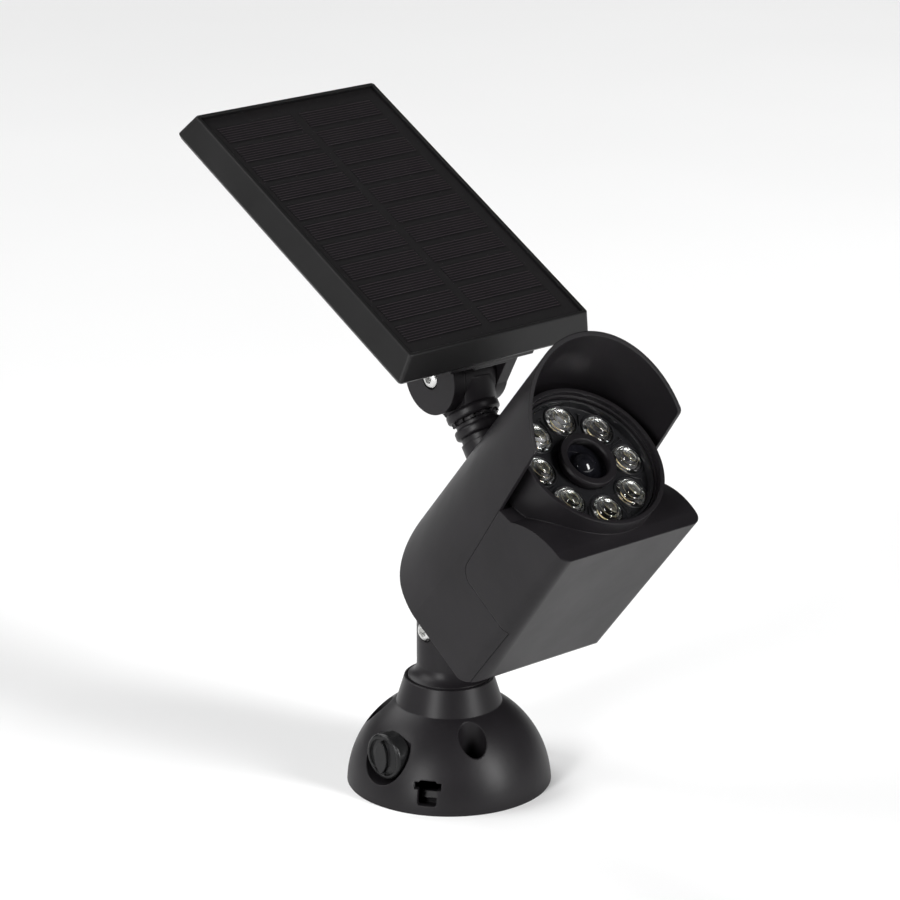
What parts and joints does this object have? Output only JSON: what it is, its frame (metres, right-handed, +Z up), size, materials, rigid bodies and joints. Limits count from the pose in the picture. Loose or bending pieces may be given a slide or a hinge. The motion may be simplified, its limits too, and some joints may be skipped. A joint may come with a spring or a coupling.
{
  "type": "solar garden spotlight",
  "caption": "Free-standing solar garden light with a domed base, panning neck, tilting hooded LED head, motion sensor and a swivelling solar panel.",
  "frame": {"origin": "centre of the base's underside, on the neck's pan axis", "axes": "+Z up, the light shines towards -Y, +X to the light's left as it faces out"},
  "size_m": [0.101, 0.2183, 0.2709],
  "materials": {
    "black_plastic": "satin moulded",
    "knob_plastic": "semi-gloss",
    "frame_plastic": "semi-gloss",
    "steel": "machined",
    "reflector": "semi-gloss",
    "clear_lens": "clear moulded",
    "led_phosphor": "phosphor coated",
    "circuit_board": "solder mask",
    "dark_lens": "polished",
    "cell_wrap": "shrink wrapped",
    "rubber": "moulded",
    "panel_glass": "polished",
    "solar_cell": "anti-reflective coated",
    "backsheet": "laminated"
  },
  "bodies": {
    "base": {"base_dome": "black_plastic", "bottom_plate": "black_plastic"},
    "knob": {"lock_knob": "knob_plastic", "lock_clip": "steel"},
    "neck": {"neck_post": "black_plastic", "pan_clip": "steel", "tilt_bolt": "steel", "tilt_nut": "steel"},
    "head": {"hood": "black_plastic", "front_housing": "black_plastic", "arm_socket": "black_plastic", "socket_nut": "black_plastic", "housing_screws": "steel", "reflector_plate": "reflector", "led_lenses": "clear_lens", "led_chips": "led_phosphor", "led_board": "circuit_board", "pir_bezel": "black_plastic", "pir_lens": "dark_lens", "pir_sensor": "steel", "battery_cell": "cell_wrap", "battery_holder": "black_plastic", "battery_contacts": "steel", "control_board": "circuit_board", "button_switch": "circuit_board"},
    "button": {"mode_button": "rubber"},
    "arm": {"arm_knuckle": "black_plastic", "arm_clip": "steel"},
    "panel": {"panel_frame": "frame_plastic", "solar_glass": "panel_glass", "solar_cells": "solar_cell", "solar_backsheet": "backsheet", "panel_back": "frame_plastic", "panel_bracket": "black_plastic", "bracket_screws": "steel", "hinge_bolt": "steel", "hinge_nut": "steel"}
  },
  "joints": [
    {"name": "base_pan", "type": "hinge", "parent": "base", "child": "neck", "pos_m": [0, 0, 0.043], "axis": [0, 0, 1], "continuous": true},
    {"name": "lock_turn", "type": "hinge", "parent": "base", "child": "knob", "pos_m": [-0.03495, -0.00183, 0.0195], "axis": [-0.9986, -0.0523, 0], "range_deg": [0, 90]},
    {"name": "head_tilt", "type": "hinge", "parent": "neck", "child": "head", "pos_m": [0, 0, 0.06764], "axis": [1, 0, 0], "range_deg": [-40, 30]},
    {"name": "mode_button", "type": "slide", "parent": "head", "child": "button", "axis": [0, -0.646, 0.7633], "range_m": [0, 0.0012], "stiffness_N_per_m": 500, "springref_m": -0.001},
    {"name": "arm_swivel", "type": "hinge", "parent": "head", "child": "arm", "pos_m": [0, -0.01647, 0.15964], "axis": [0, 0.5644, 0.8255], "range_deg": [-170, 170]},
    {"name": "panel_tilt", "type": "hinge", "parent": "arm", "child": "panel", "pos_m": [0, -0.00451, 0.17714], "axis": [1, 0, 0], "range_deg": [-80, 35]}
  ]
}
